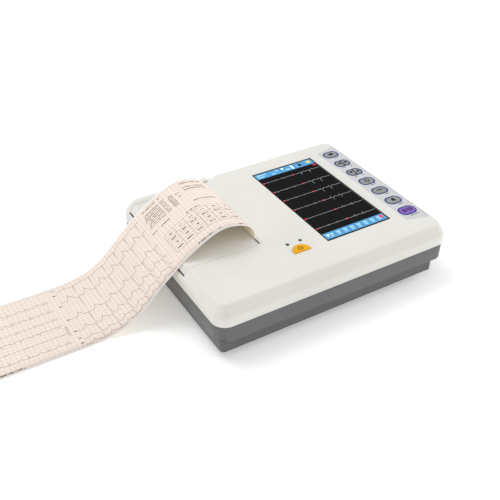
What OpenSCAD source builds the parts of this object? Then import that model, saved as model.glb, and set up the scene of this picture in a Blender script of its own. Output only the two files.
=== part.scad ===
// Portable desk-top ECG recorder with a strip printer.
// X runs to the right of the case, Y to the back and Z up from the table.
// The origin is on the table under the middle of the case.

/* [Case] */
// Width of the case
case_w = 300; // [296:1:310]
// Depth of the case
case_d = 233; // [230:1:240]
// Height of the case body above its own underside
case_h = 56.7; // [56:0.1:60]
// Clearance of the case above the table
ground_gap = 9.8; // [8:0.1:14]
// Radius of the case's upright corners
corner_r = 16; // [14:1:20]
// Wall thickness of the two case halves
wall = 2.5; // [2:0.1:3]
// Width of the slope round the top face, seen from above
bevel_w = 8; // [6:0.5:9]
// Height of the slope round the top face
bevel_h = 11.5; // [10:0.5:12]
// Height of the split between the two halves above the underside
split_h = 33.4; // [33:0.1:34]
// Height of the inset skirt at the foot of the case
skirt_h = 13.7; // [12:0.1:14]
// Inset of the skirt at the front
skirt_front = 1.8; // [1:0.1:4]
// Inset of the skirt at the left
skirt_left = 4.2; // [2:0.1:6]
// Inset of the skirt at the right
skirt_right = 17.5; // [15:0.5:19]

/* [Screen] */
// Width of the screen window
window_w = 87.4; // [85:0.1:88]
// Length of the screen window, front to back
window_l = 158; // [156:0.5:160]
// Middle of the screen window, left to right
window_x = 54.9; // [54:0.1:56]
// Middle of the screen window, front to back
window_y = 6.1; // [4:0.1:8]

/* [Keys] */
// Middle of the key column, left to right
key_x = 126.5; // [126:0.1:127]
// Middle of the rearmost key
key_y = 78.6; // [78:0.1:79]
// Distance from key to key
key_pitch = 24.5; // [24:0.1:24.6]
// Width of a key
key_w = 17.4; // [16:0.1:18.6]
// Depth of a key
key_d = 11.8; // [11:0.1:13]
// Travel of a key
key_travel = 0.8; // [0.4:0.1:0.8]

/* [Power button] */
// Middle of the power button, left to right
power_x = -22.4; // [-24:0.1:-20]
// Flat front side of the power button
power_y = -74.3; // [-76:0.1:-72]
// Radius of the power button's round back
power_r = 10.3; // [9:0.1:10.6]

/* [Printer] */
// Width of the chart paper
paper_w = 110; // [108:1:110]
// Middle of the chart paper, front to back
paper_y = 26.5; // [26:0.1:27]
// Front side of the door
door_front = -39.1; // [-39.5:0.1:-38.5]
// Back side of the door
door_back = 96.3; // [96:0.1:96.5]
// Right side of the door, where the paper comes up
door_right = -56.6; // [-56.8:0.1:-56.4]
// Right side of the tear bar
bar_right = -51.3; // [-51.5:0.1:-50.5]
// Radius of the platen roller
roller_r = 6; // [5.8:0.1:6]
// Radius of a full paper roll
roll_r = 22; // [15:0.5:22]
// Gear module of the paper drive
gear_m = 0.8; // [0.8:0.1:0.8]

/* [Hidden] */

$fn = 48;
base_z = ground_gap;
top_z = base_z + case_h;
split_z = base_z + split_h;
skirt_z = base_z + skirt_h;
bevel_z = top_z - bevel_h;
skin_z = top_z - wall;
floor_z = base_z + wall;
half_w = case_w / 2;
half_d = case_d / 2;
shadow_gap = 0.8;
fit_gap = 0.4;
big = 400;

// the door's hinge, and the open gap below the door's left edge
gap_low = top_z - 9.4;
gap_high = top_z - 7.2;
hinge_x = -half_w + 12.5;
hinge_z = gap_high;
pin_r = 1.5;
run_gap = 0.05;

// paper drive
platen_x = -62.1;
platen_z = top_z - 11.5;
platen_n = 18;
idler_n = 24;
pinion_n = 12;
idler_x = platen_x + 4;
idler_z = platen_z - sqrt(pow(gear_m * (platen_n + idler_n) / 2, 2) - 16);
motor_x = idler_x + 11.2;
motor_z = idler_z - sqrt(pow(gear_m * (idler_n + pinion_n) / 2, 2) - pow(11.2, 2));
gear_y = 85.2;
gear_t = 4.6;
paper_front = paper_y - paper_w / 2;
paper_back = paper_y + paper_w / 2;
roll_x = -104;
roll_z = top_z - 28;

// key panel recess
panel_z = top_z - 1.6;
panel_t = 1;
panel_left = 112.3;
panel_right = 140.7;

case_white = [0.91, 0.91, 0.89];
case_grey = [0.36, 0.36, 0.37];
board_green = [0.12, 0.36, 0.22];

// ---------------------------------------------------------------- helpers

function unit(v) = v / norm(v);

// points of a round that replaces the corner b of the path a, b, c
function round_at(a, b, c, r, n = 6) =
    let (
        u = unit(a - b),
        v = unit(c - b),
        half = acos(u * v) / 2,
        middle = b + unit(u + v) * r / sin(half),
        s = b + u * r / tan(half) - middle,
        e = b + v * r / tan(half) - middle,
        a0 = atan2(s.y, s.x),
        turn = (atan2(e.y, e.x) - a0 + 540) % 360 - 180
    )
    [for (i = [0:n]) middle + r * [cos(a0 + turn * i / n), sin(a0 + turn * i / n)]];

module block(x, y, z) {
    translate([x[0], y[0], z[0]])
        cube([x[1] - x[0], y[1] - y[0], z[1] - z[0]]);
}

module post(x, y, z, r) {
    translate([x, y, z[0]])
        cylinder(h = z[1] - z[0], r = r);
}

// a cylinder that lies along Y
module rod_y(x, z, y, r) {
    translate([x, y[1], z])
        rotate([90, 0, 0])
            cylinder(h = y[1] - y[0], r = r);
}

// a cylinder that lies along X
module rod_x(y, z, x, r) {
    translate([x[0], y, z])
        rotate([0, 90, 0])
            cylinder(h = x[1] - x[0], r = r);
}

// an outline drawn in X and Z, given its thickness along Y
module sheet_y(y, points) {
    translate([0, y[1], 0])
        rotate([90, 0, 0])
            linear_extrude(height = y[1] - y[0])
                polygon(points);
}

// a rectangle with four round upright corners, with a side that follows [inset, z] points
module slab(w, d, r, side) {
    last = len(side) - 1;
    rotate([90, 0, 90])
        linear_extrude(height = w - 2 * r, center = true)
            polygon(concat([for (p = side) [d / 2 - p[0], p[1]]],
                [for (i = [last:-1:0]) [side[i][0] - d / 2, side[i][1]]]));
    rotate([90, 0, 0])
        linear_extrude(height = d - 2 * r, center = true)
            polygon(concat([for (p = side) [w / 2 - p[0], p[1]]],
                [for (i = [last:-1:0]) [side[i][0] - w / 2, side[i][1]]]));
    for (sx = [-1, 1], sy = [-1, 1])
        translate([sx * (w / 2 - r), sy * (d / 2 - r), 0])
            rotate_extrude()
                polygon(concat([[0, side[0][1]]], [for (p = side) [r - p[0], p[1]]],
                    [[0, side[last][1]]]));
}

// a slab placed by its sides instead of its middle
module slab_at(x, y, r, side) {
    translate([(x[0] + x[1]) / 2, (y[0] + y[1]) / 2, 0])
        slab(x[1] - x[0], y[1] - y[0], r, side);
}

// the case's own outline from the split to the top face
case_side = concat([[0, split_z]],
    round_at([0, split_z], [0, bevel_z], [bevel_w, top_z], 6),
    round_at([0, bevel_z], [bevel_w, top_z], [bevel_w + 20, top_z], 4));

module case_outside() {
    slab(case_w, case_d, corner_r, case_side);
}

module case_inside() {
    slab(case_w - 2 * wall, case_d - 2 * wall, corner_r - wall,
        [[0, split_z - 1], [0, bevel_z - 0.7], [bevel_w - 1.55, skin_z]]);
}

// involute gear in the XZ plane, from gear_y along +Y
function involute(rb, a) = rb * [cos(a) + a * PI / 180 * sin(a), sin(a) - a * PI / 180 * cos(a)];
function spin(p, a) = [p.x * cos(a) - p.y * sin(a), p.x * sin(a) + p.y * cos(a)];
function roll_angle(rb, r) = sqrt(pow(r / rb, 2) - 1) * 180 / PI;
function gear_outline(n, m, slack = 0.16) =
    let (
        pitch = n * m / 2,
        rb = pitch * cos(20),
        tip = pitch + 0.8 * m,
        root = pitch - 1.05 * m,
        a_pitch = roll_angle(rb, pitch),
        lead = a_pitch - 20,
        half_tooth = 90 / n - slack / pitch * 90 / PI,
        first = root > rb ? roll_angle(rb, root) : 0,
        a_tip = roll_angle(rb, tip),
        flank = [for (i = [0:5]) spin(involute(rb, first + (a_tip - first) * i / 5), -half_tooth - lead)],
        lower = spin([root, 0], -half_tooth - lead - (root > rb ? -lead : 0))
    )
    [for (k = [0:n - 1]) each concat([for (p = concat(root > rb ? [] : [lower], flank)) spin(p, k * 360 / n)],
        [for (i = [len(flank) - 1:-1:0]) spin([flank[i].x, -flank[i].y], k * 360 / n)],
        root > rb ? [] : [spin([lower.x, -lower.y], k * 360 / n)])];

module gear(x, z, n, phase, bore) {
    translate([x, gear_y + gear_t, z])
        rotate([90, 0, 0])
            linear_extrude(height = gear_t)
                difference() {
                    rotate(phase)
                        polygon(gear_outline(n, gear_m));
                    circle(r = bore);
                }
}

// direction from one gear to the next, in the gear's own drawing plane
to_idler = atan2(idler_z - platen_z, idler_x - platen_x);
to_pinion = atan2(motor_z - idler_z, motor_x - idler_x);
idler_phase = to_idler + 180 + 180 / idler_n;
// tooth angle of the idler, measured towards the pinion
idler_tooth = (to_pinion - idler_phase) * idler_n / 360;
pinion_phase = to_pinion + 180 + (idler_tooth + 0.5) * 360 / pinion_n;

// ---------------------------------------------------------------- case

feet = [[-122, -88], [112, -88], [-122, 88], [112, 88], [0, 0]];
screws = [[-134, -101], [123, -104], [-134, 101], [123, 104]];
skirt_x = [-half_w + skirt_left, half_w - skirt_right];
skirt_y = [-half_d + skirt_front, half_d - 0.5];
rim_in = 4.2;
battery_x = [-128, -40];
battery_y = [-104, -54];
inlet_x = 86;
inlet_z = base_z + 17.5;
post_x = 44;
post_z = base_z + 20;
socket_z = base_z + 22.5;
patient_y = -26;
serial_y = 22;
usb_y = 58;
speaker_x = 113;
speaker_y = 58;

module bottom_case() {
    color(case_grey)
        difference() {
            union() {
                slab(case_w - 1, case_d - 1, corner_r, [[0, skirt_z], [0, split_z - shadow_gap]]);
                slab_at(skirt_x, skirt_y, 5, [[0.5, base_z], [0, base_z + 0.5], [0, skirt_z + 1]]);
                slab(case_w - 2 * wall - 0.4, case_d - 2 * wall - 0.4, corner_r - wall,
                    [[0, skirt_z + 1], [0, split_z + 3]]);
                for (p = feet)
                    post(p.x, p.y, [base_z - 5, base_z + 1], 11);
            }
            difference() {
                union() {
                    slab(case_w - 2 * rim_in, case_d - 2 * rim_in, corner_r - rim_in,
                        [[0, skirt_z + wall], [0, split_z + 4]]);
                    slab_at([skirt_x[0] + wall, skirt_x[1] - wall], [skirt_y[0] + wall, half_d - rim_in],
                        3, [[0, floor_z], [0, skirt_z + wall + 1]]);
                }
                for (p = screws)
                    post(p.x, p.y, [base_z, floor_z + 6], 5.5);
                for (x = [-16, 94], y = [-92, 56])
                    post(x, y, [base_z, floor_z + 5], 3);
                for (x = [-24, 56], y = [66, 104])
                    post(x, y, [base_z, floor_z + 5], 3);
            }
            for (p = screws) {
                post(p.x, p.y, [base_z - 1, base_z + 4], 3.6);
                post(p.x, p.y, [base_z - 1, floor_z + 7], 1.8);
            }
            block([battery_x[0] - 2, battery_x[1] + 2], [battery_y[0] - 2, battery_y[1] + 2],
                [base_z - 1, base_z + 1.4]);
            block(battery_x, battery_y, [base_z - 1, floor_z + 1]);
            for (x = [battery_x[0] + 4, battery_x[1] - 4])
                post(x, battery_y[1] + 0.8, [base_z - 1, floor_z + 1], 1.2);
            block([inlet_x - 13.7, inlet_x + 13.7], [half_d - 8, half_d + 1], [inlet_z - 10, inlet_z + 10]);
            rod_y(post_x, post_z, [half_d - 8, half_d + 1], 4);
            block([half_w - 8, half_w + 1], [patient_y - 13, patient_y + 13], [socket_z - 4.8, socket_z + 4.8]);
            block([half_w - 8, half_w + 1], [serial_y - 9, serial_y + 9], [socket_z - 4.8, socket_z + 4.8]);
            block([half_w - 8, half_w + 1], [usb_y - 7.3, usb_y + 7.3], [socket_z - 3.6, socket_z + 3.6]);
            for (i = [-2:2], j = [-2:2])
                if (i * i + j * j < 6)
                    post(speaker_x + 5 * i, speaker_y + 5 * j, [base_z - 1, floor_z + 1], 1.1);
            for (i = [0:8])
                block([-92 + 9 * i, -88 + 9 * i], [half_d - 8, half_d + 1], [base_z + 16, base_z + 28]);
        }
}

// outline of the door and the tear bar together, as the top case leaves room for it
bay_x = bar_right + 0.2;
bay_front = door_front - fit_gap;
bay_back = door_back + fit_gap;
scoop_floor = top_z - 6;
scoop_front = bay_back + 1.5;
scoop_right = [-36.8, -28];
scoop_left = [-65.2, -74];

module scoop(y, z, grow = 0) {
    depth = half_d + 4 - y;
    slope = (scoop_right[1] - scoop_right[0]) / 11;
    translate([0, 0, z[0]])
        linear_extrude(height = z[1] - z[0])
            polygon([[scoop_left[0] - grow, y], [scoop_right[0] + grow, y],
                [scoop_right[0] + grow + slope * depth, half_d + 4],
                [scoop_left[0] - grow - slope * depth, half_d + 4]]);
}

module hinge_boss(y) {
    block([hinge_x - 4, hinge_x + 4], y, [hinge_z - 4, skin_z + 1]);
}

module top_case() {
    color(case_white)
        difference() {
            union() {
                difference() {
                    case_outside();
                    difference() {
                        case_inside();
                        hinge_boss([bay_front - 7, bay_front]);
                        hinge_boss([bay_back, bay_back + 7]);
                        for (p = screws)
                            post(p.x, p.y, [floor_z + 6.3, top_z - 1], 4.5);
                        intersection() {
                            scoop(scoop_front - 1.5, [scoop_floor - 1.8, top_z], 1.6);
                            block([-big, big], [-big, half_d - 2], [scoop_floor - 1.8, top_z - 1]);
                        }
                    }
                }
            }
            block([-big, bay_x], [bay_front, bay_back], [gap_low, top_z + 1]);
            slab_at([window_x - window_w / 2, window_x + window_w / 2],
                [window_y - window_l / 2, window_y + window_l / 2], 1, [[0, top_z - 9], [0, top_z + 1]]);
            scoop(scoop_front, [scoop_floor, top_z + 1]);
            block([-57, -45], [103.5, 111], [scoop_floor - 3, scoop_floor + 1]);
            panel_outline(0.15, [panel_z, top_z + 1]);
            panel_slope(88.6, atan2(7.4, panel_right - panel_left));
            panel_slope(-82.6, -atan2(7.8, panel_right - panel_left));
            for (k = keys)
                key_shape(k, 0.4, [skin_z - 1, panel_z + 1]);
            power_shape(0.3, [skin_z - 1, top_z + 1]);
            for (p = lamps)
                post(p[0], p[1], [skin_z - 1, top_z + 1], 2.15);
            block([-147.3, -140], [bay_front, bay_back], [split_z + 1, gap_low + 1]);
            for (p = screws)
                post(p.x, p.y, [floor_z, floor_z + 28], 1.3);
            rod_y(hinge_x, hinge_z, [bay_front - 6.4, bay_front + 1], pin_r);
            rod_y(hinge_x, hinge_z, [bay_back - 1, bay_back + 6.4], pin_r);
        }
}

module panel_outline(grow, z) {
    front = -82.6 - grow;
    back = 88.6 + grow;
    left = panel_left - grow;
    right = panel_right + grow;
    translate([0, 0, z[0]])
        linear_extrude(height = z[1] - z[0])
            union() {
                polygon([[left + 2, front], [right, front - 7.8], [right, back + 7.4], [left + 2, back],
                    [left, back - 2], [left, front + 2]]);
                for (y = [front + 2, back - 2])
                    translate([left + 2, y])
                        circle(r = 2);
            }
}

// the slope that leads down to the panel at one of its ends
module panel_slope(y, tilt) {
    side = tilt > 0 ? 1 : -1;
    low = panel_z + panel_t;
    intersection() {
        translate([panel_left, y, 0])
            rotate([0, 0, tilt])
                rotate([90, 0, 90])
                    linear_extrude(height = 40)
                        polygon([[-3 * side, low], [0.15 * side, low], [3.6 * side, top_z + 0.01],
                            [-3 * side, top_z + 0.01]]);
        block([panel_left + 0.6, half_w - bevel_w + 3], [-half_d, half_d], [low, top_z + 1]);
    }
}

// ---------------------------------------------------------------- keys

// each key: middle Y, which half of the oval (0 is the whole), width, depth
keys = [
    [key_y, 0, key_w, key_d],
    [key_y - key_pitch, -1, key_w, key_d],
    [key_y - key_pitch, 1, key_w, key_d],
    [key_y - 2 * key_pitch, -1, key_w, key_d],
    [key_y - 2 * key_pitch, 1, key_w, key_d],
    [key_y - 3 * key_pitch, 0, key_w, key_d],
    [key_y - 4 * key_pitch, 0, key_w, key_d],
    [key_y - 5 * key_pitch, 0, key_w, key_d],
    [key_y - 6 * key_pitch, 0, key_w + 2, key_d + 0.8]
];
half_gap = 1.3;

// one key's outline over a height, larger all round by grow
module key_shape(k, grow, z, soft = 0) {
    w = k[2] + 2 * grow;
    d = k[3] + 2 * grow;
    round_r = d / 2 - 0.8;
    side = soft == 0 ? [[0, z[0]], [0, z[1]]]
        : concat([[0, z[0]]], round_at([0, z[0]], [0, z[1]], [soft + 1, z[1] + 0.35], soft, 4),
            [[soft + 1.4, z[1] + 0.45]]);
    translate([key_x, k[0], 0])
        intersection() {
            slab(w, d, round_r, side);
            if (k[1] != 0)
                translate([k[1] > 0 ? half_gap - grow : half_gap * -1 + grow - big, -big / 2, z[0] - 1])
                    cube([big, big, z[1] - z[0] + 4]);
        }
}

module key(k, tint) {
    color(tint)
        union() {
            key_shape(k, 0, [skin_z - 1.6, panel_z + 1.4], 1);
            key_shape(k, 0.9, [skin_z - 1.6, skin_z - 0.4]);
        }
}

key_grey = [0.55, 0.56, 0.58];

module key_square() {
    key(keys[0], key_grey);
}

module key_back_1() {
    key(keys[1], key_grey);
}

module key_forward_1() {
    key(keys[2], key_grey);
}

module key_back_2() {
    key(keys[3], key_grey);
}

module key_forward_2() {
    key(keys[4], key_grey);
}

module key_ring() {
    key(keys[5], key_grey);
}

module key_pulse() {
    key(keys[6], key_grey);
}

module key_bell() {
    key(keys[7], key_grey);
}

module key_start() {
    key(keys[8], [0.5, 0.36, 0.7]);
}

module key_panel() {
    color([0.78, 0.79, 0.81])
        difference() {
            panel_outline(0, [panel_z, panel_z + panel_t]);
            for (k = keys)
                key_shape(k, 0.4, [panel_z - 1, panel_z + panel_t + 1]);
        }
}

switch_top = skin_z - 1.6 - key_travel - 0.2;

module keypad_board() {
    color(board_green)
        union() {
            block([114, 139.5], [-82, 92], [switch_top - 5.2, switch_top - 3.6]);
            for (k = keys)
                translate([key_x + k[1] * 5 - 3, k[0] - 3, switch_top - 3.6])
                    cube([6, 6, 3.6]);
        }
}

// ---------------------------------------------------------------- power button and lamps

lamps = [[-30.4, -56], [-13.8, -56]];

module power_shape(grow, z) {
    r = power_r + grow;
    intersection() {
        union() {
            post(power_x, power_y + 1.8, z, r);
            block([power_x - r, power_x + r], [power_y - grow, power_y + 1.8], z);
        }
        block([power_x - r, power_x + r], [power_y - grow, power_y + 20], z);
    }
}

module power_button() {
    color([0.95, 0.7, 0.1])
        union() {
            power_shape(0, [skin_z - 1.6, top_z + 0.9]);
            power_shape(1, [skin_z - 1.6, skin_z - 0.3]);
        }
}

module power_board() {
    color(board_green)
        union() {
            block([-38, -6], [-82, -50], [switch_top - 5.4, switch_top - 3.8]);
            block([power_x - 3, power_x + 3], [power_y + 2, power_y + 8],
                [switch_top - 3.8, switch_top - 0.2]);
            for (p = lamps)
                post(p[0], p[1], [switch_top - 3.8, switch_top - 2], 1.5);
        }
}

module lamp_lens(p) {
    color([0.1, 0.25, 0.15])
        union() {
            post(p[0], p[1], [switch_top - 1.6, top_z + 0.2], 2);
            post(p[0], p[1], [skin_z - 1.6, skin_z - 0.1], 3);
        }
}

module lamp_lens_left() {
    lamp_lens(lamps[0]);
}

module lamp_lens_right() {
    lamp_lens(lamps[1]);
}

// ---------------------------------------------------------------- screen

module screen_window() {
    color([0.04, 0.04, 0.05])
        slab_at([window_x - window_w / 2 + 0.15, window_x + window_w / 2 - 0.15],
            [window_y - window_l / 2 + 0.15, window_y + window_l / 2 - 0.15], 0.8,
            [[0, top_z - 2.4], [0, top_z - 0.4]]);
}

module screen_module() {
    color([0.3, 0.32, 0.35])
        block([window_x - 50, window_x + 50], [window_y - 82.5, window_y + 82.5],
            [top_z - 8.4, top_z - 2.7]);
}

module screen_bracket() {
    color([0.7, 0.71, 0.72])
        difference() {
            block([window_x - 53, window_x + 53], [window_y - 85, window_y + 85],
                [top_z - 10, top_z - 8.5]);
            block([window_x - 40, window_x + 40], [window_y - 70, window_y + 70],
                [top_z - 11, top_z - 8]);
        }
}

// ---------------------------------------------------------------- printer door

module cheek(y) {
    sheet_y(y, [[platen_x - 10, skin_z + 1], [platen_x + 4.6, skin_z + 1], [platen_x + 4.6, platen_z],
        [platen_x + 3, platen_z - 4.6], [platen_x - 3, platen_z - 4.6], [platen_x - 5, platen_z]]);
}

module paper_door() {
    color(case_white)
        difference() {
            union() {
                difference() {
                    intersection() {
                        case_outside();
                        block([-big, door_right], [door_front, door_back], [gap_high, top_z + 1]);
                    }
                    intersection() {
                        case_inside();
                        block([-big, big], [door_front + 2, door_back - 2], [gap_high - 1, skin_z]);
                    }
                    block([hinge_x + 6, big], [-big, big], [gap_high - 1, skin_z - 4]);
                }
                cheek([-35, -32]);
                cheek([91.5, 94.5]);
                for (y = [[door_front, door_front + 5], [door_back - 5, door_back]]) {
                    rod_y(hinge_x, hinge_z, y, 4);
                    block([hinge_x - 4, hinge_x + 4], y, [hinge_z, skin_z + 1]);
                }
                block([-66, -60], [94.6, 95.6], [scoop_floor - 6, skin_z + 1]);
                block([-66, -60], [94.6, door_back], [scoop_floor - 6, scoop_floor - 4.7]);
            }
            rod_y(hinge_x, hinge_z, [door_front - 1, door_front + 6], pin_r + run_gap);
            rod_y(hinge_x, hinge_z, [door_back - 6, door_back + 1], pin_r + run_gap);
            rod_y(platen_x, platen_z, [-36, -31], 3.2);
            rod_y(platen_x, platen_z, [90, 96], 3.2);
        }
}

module door_hinge_pins() {
    color("silver")
        union() {
            rod_y(hinge_x, hinge_z, [bay_front - 6.4, door_front + 4.6], pin_r);
            rod_y(hinge_x, hinge_z, [door_back - 4.6, bay_back + 6.4], pin_r);
        }
}

module platen_roller() {
    color([0.1, 0.1, 0.1])
        difference() {
            rod_y(platen_x, platen_z, [paper_front - 0.5, paper_back + 0.5], roller_r);
            rod_y(platen_x, platen_z, [paper_front - 2, paper_back + 2], 2);
        }
}

module platen_shaft() {
    color("silver")
        rod_y(platen_x, platen_z, [-35.2, 94.4], 2);
}

module platen_gear() {
    color([0.92, 0.92, 0.88])
        gear(platen_x, platen_z, platen_n, to_idler, 2);
}

module platen_bushes() {
    color([0.75, 0.65, 0.4])
        for (y = [[-35, -32], [91.5, 94.5]])
            difference() {
                rod_y(platen_x, platen_z, y, 3.2);
                rod_y(platen_x, platen_z, [y[0] - 1, y[1] + 1], 2 + run_gap);
            }
}

tooth = 1.5;
bar_left = door_right + 1.7;
bar_low = top_z - 5.1;

module tear_bar() {
    teeth = floor((paper_w + 4) / tooth);
    start = paper_y - teeth * tooth / 2;
    color(case_white)
        union() {
            block([bar_left + 0.6, bar_right], [door_front, door_back], [bar_low, top_z]);
            translate([0, 0, top_z - 1])
                linear_extrude(height = 0.8)
                    polygon(concat([for (i = [0:2 * teeth])
                        [bar_left + (i % 2 == 0 ? 0.6 : 0), start + i * tooth / 2]],
                        [[bar_left + 1, start + teeth * tooth], [bar_left + 1, start]]));
        }
}

// ---------------------------------------------------------------- latch

latch_travel = 3;

module door_latch() {
    color(case_white)
        union() {
            block([-62, -40], [103.1, 109.8], [scoop_floor + 0.3, top_z]);
            block([-56, -46], [104, 107], [scoop_floor - 4.3, scoop_floor + 1]);
            block([-66, -44], [96.9, 107], [scoop_floor - 4.3, scoop_floor - 2.3]);
        }
}

module latch_spring() {
    color("silver")
        difference() {
            rod_y(-60, scoop_floor - 3.3, [107, 111.2], 1);
            rod_y(-60, scoop_floor - 3.3, [106, 112], 0.6);
        }
}

// ---------------------------------------------------------------- print mechanism

head_x = platen_x + roller_r + 0.6;

module print_head() {
    color([0.85, 0.83, 0.78])
        block([head_x, head_x + 1.3], [paper_front + 0.5, paper_back - 0.5],
            [platen_z - 11, platen_z + 4]);
}

module head_heatsink() {
    color([0.72, 0.73, 0.75])
        difference() {
            block([head_x + 1.3, -48], [paper_front - 0.5, paper_back + 0.5],
                [platen_z - 12, platen_z + 5]);
            for (i = [0:2])
                block([-50, -47], [-100, 100], [platen_z - 9 + 5 * i, platen_z - 7 + 5 * i]);
        }
}

module head_springs() {
    color("silver")
        for (y = [5, 48])
            difference() {
                rod_x(y, platen_z - 6, [-48, -40], 3);
                rod_x(y, platen_z - 6, [-49, -39], 2.2);
            }
}

frame_low = floor_z + 0.2;
frame_top = platen_z + 5.2;

module printer_frame() {
    color([0.62, 0.64, 0.66])
        difference() {
            union() {
                block([-70, -34], [-31.8, 84.8], [frame_low, frame_low + 1.2]);
                block([-40, -38.8], [-31.8, 84.8], [frame_low, frame_top]);
                block([-54, -38.8], [-31.8, -30.3], [frame_low, frame_top]);
                sheet_y([83.3, 84.8], [[-70, frame_low], [-34, frame_low], [-34, frame_top], [-53, frame_top],
                    [-53, platen_z - 5], [-58, platen_z - 8.5], [-70, platen_z - 12]]);
                block([-53.6, -38.8], [-31.8, 84.8], [frame_top, frame_top + 1.2]);
            }
            rod_y(motor_x, motor_z, [80, 86], 5);
            block([-41, -38], [62.5, 83.3], [motor_z - 13.5, motor_z + 13.5]);
            rod_y(idler_x, idler_z, [80, 86], 1.5);
        }
}

module idler_shaft() {
    color("silver")
        rod_y(idler_x, idler_z, [83.3, 91], 1.5);
}

module idler_gear() {
    color([0.92, 0.92, 0.88])
        gear(idler_x, idler_z, idler_n, idler_phase, 1.5 + run_gap);
}

module stepper_motor() {
    color([0.55, 0.56, 0.58])
        difference() {
            rod_y(motor_x, motor_z, [63, 83.3], 12.5);
            rod_y(motor_x, motor_z, [78, 84], 1.5 + run_gap);
        }
}

module motor_shaft() {
    color("silver")
        rod_y(motor_x, motor_z, [78.5, 91], 1.5);
}

module motor_pinion() {
    color([0.8, 0.68, 0.35])
        gear(motor_x, motor_z, pinion_n, pinion_phase, 1.5);
}

tray_x = [-132, -77.5];
tray_y = [-32, 85];
tray_low = floor_z + 0.2;
tray_top = top_z - 20;
tray_t = 1.5;

module paper_tray() {
    color([0.8, 0.8, 0.79])
        difference() {
            union() {
                block(tray_x, tray_y, [tray_low, tray_top]);
                block([-144.5, -71.5], [bay_front + 1, bay_back - 1], [tray_top, tray_top + tray_t]);
            }
            block([tray_x[0] + tray_t, tray_x[1] - tray_t], [tray_y[0] + tray_t, tray_y[1] - tray_t],
                [tray_low + tray_t, top_z]);
            rod_y(roll_x, roll_z, [tray_y[0] - 1, tray_y[1] + 1], 6);
            block([roll_x - 6, roll_x + 6], [tray_y[0] - 1, tray_y[1] + 1], [roll_z, tray_top + 5]);
        }
}

module roll_axle() {
    color([0.85, 0.85, 0.85])
        rod_y(roll_x, roll_z, [tray_y[0], tray_y[1]], 5.95);
}

module roll_core() {
    color([0.72, 0.6, 0.45])
        difference() {
            rod_y(roll_x, roll_z, [paper_front, paper_back], 8.5);
            rod_y(roll_x, roll_z, [paper_front - 1, paper_back + 1], 6);
        }
}

module paper_roll() {
    color([0.95, 0.92, 0.9])
        difference() {
            rod_y(roll_x, roll_z, [paper_front, paper_back], roll_r);
            rod_y(roll_x, roll_z, [paper_front - 1, paper_back + 1], 8.5);
        }
}

// ---------------------------------------------------------------- chart paper

// the strip's course in X and Z, from the print head to its torn end on the table
paper_t = 0.2;
lead = 38.6;
pass = atan2(platen_z - roll_z, platen_x - roll_x) - lead;
nip_r = roller_r + 0.2;
inner = concat([[roll_x, roll_z] + (roll_r + 0.2) * [-sin(pass), cos(pass)]],
    [for (a = [pass:17.5:72]) [platen_x, platen_z] + nip_r * [sin(a), -cos(a)]]);
strip = [[-55.9, platen_z], [-55.85, 61], [-55.6, 66], [-55.4, 71], [-56.9, 77.5], [-62, 84],
    [-72.5, 89.5], [-87, 92.5], [-100, 91], [-113, 85.5], [-127, 77.5], [-141, 67.8], [-156, 55],
    [-170, 42.5], [-182, 30], [-194, 19], [-208, 10], [-225, 4], [-245, 1], [-270, 0.2],
    [-300, 0.15], [-375, 0.15]];
steps = 4;

function between(p, i, t) =
    let (
        a = p[max(i - 1, 0)],
        b = p[i],
        c = p[i + 1],
        d = p[min(i + 2, len(p) - 1)]
    )
    0.5 * (2 * b + (c - a) * t + (2 * a - 5 * b + 4 * c - d) * t * t + (3 * b - a - 3 * c + d) * t * t * t);

course = concat(inner, [for (i = [0:len(strip) - 2], k = [0:steps - 1]) between(strip, i, k / steps)],
    [strip[len(strip) - 1]]);
function course_side(i) =
    let (d = unit(course[min(i + 1, len(course) - 1)] - course[max(i - 1, 0)]))
    [-d.y, d.x] * paper_t / 2;

module chart_paper() {
    n = len(course) - 1;
    color([0.98, 0.92, 0.88])
        sheet_y([paper_front, paper_back], concat([for (i = [0:n]) course[i] + course_side(i)],
            [for (i = [n:-1:0]) course[i] - course_side(i)]));
}

// ---------------------------------------------------------------- electronics

board_z = floor_z + 5;

module board(x, y, z) {
    block(x, y, [z, z + 1.6]);
}

module main_board() {
    color(board_green)
        union() {
            board([-20, 98], [-96, 60], board_z);
            block([0, 24], [-60, -36], [board_z + 1.6, board_z + 4]);
            block([34, 50], [-40, -24], [board_z + 1.6, board_z + 3.6]);
            block([60, 90], [20, 30], [board_z + 1.6, board_z + 9]);
            block([-10, 20], [30, 38], [board_z + 1.6, board_z + 7]);
            for (i = [0:3])
                post(8 + 14 * i, 6, [board_z + 1.6, board_z + 11], 4);
        }
}

module patient_board() {
    color(board_green)
        board([100, 136], [-60, 36], skirt_z + 4);
}

module board_shield() {
    color([0.75, 0.76, 0.77])
        difference() {
            block([102, 134], [-50, 30], [skirt_z + 5.6, skirt_z + 14]);
            block([102.5, 133.5], [-49.5, 29.5], [skirt_z + 5, skirt_z + 13.5]);
        }
}

module power_supply() {
    color(board_green)
        union() {
            board([-30, 62], [62, 108], board_z);
            block([-16, 14], [70, 100], [board_z + 1.6, board_z + 24]);
            for (x = [26, 42])
                post(x, 92, [board_z + 1.6, board_z + 26], 7);
            block([22, 50], [68, 78], [board_z + 1.6, board_z + 20]);
        }
}

module battery_pack() {
    cell_r = 9.2;
    color([0.2, 0.35, 0.6])
        union() {
            for (i = [0:1])
                translate([battery_x[0] + 6, battery_y[0] + 12.5 + 24 * i, base_z + 14])
                    rotate([0, 90, 0])
                        cylinder(h = 76, r = cell_r);
            block([battery_x[0] + 6, battery_x[1] - 6], [battery_y[0] + 12.5, battery_y[0] + 36.5],
                [base_z + 10, base_z + 18]);
        }
}

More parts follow.
